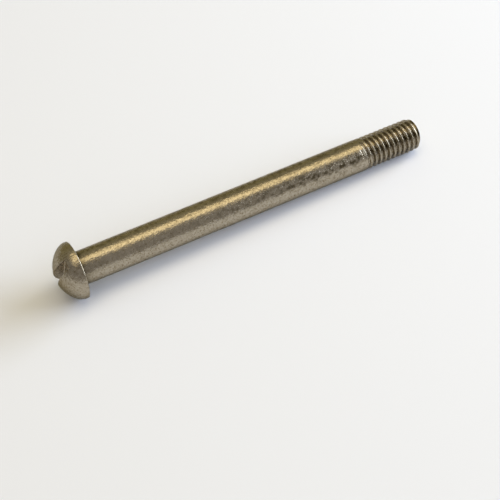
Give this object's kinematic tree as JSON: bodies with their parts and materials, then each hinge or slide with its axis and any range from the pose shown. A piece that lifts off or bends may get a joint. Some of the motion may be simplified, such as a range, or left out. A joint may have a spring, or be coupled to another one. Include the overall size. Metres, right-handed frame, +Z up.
{
  "type": "bracket bolt",
  "caption": "Long slotted round-head metal bolt with a plain shank and a short fine thread at its end, for holding a bracket through a thick part.",
  "frame": {"origin": "centre of the footprint of the lying bolt, on the ground that it lies on", "axes": "+Z up; +X along the bolt's length, from the head towards the thread's end, which dips by 1.86 degrees because the head is larger than the thread; +Y across it"},
  "size_m": [0.0716, 0.0102, 0.0103],
  "materials": {
    "bolt_metal": "satin, slightly worn and warm-toned, with a fine pitted grain"
  },
  "bodies": {
    "root": {"bolt": "bolt_metal"}
  },
  "joints": []
}
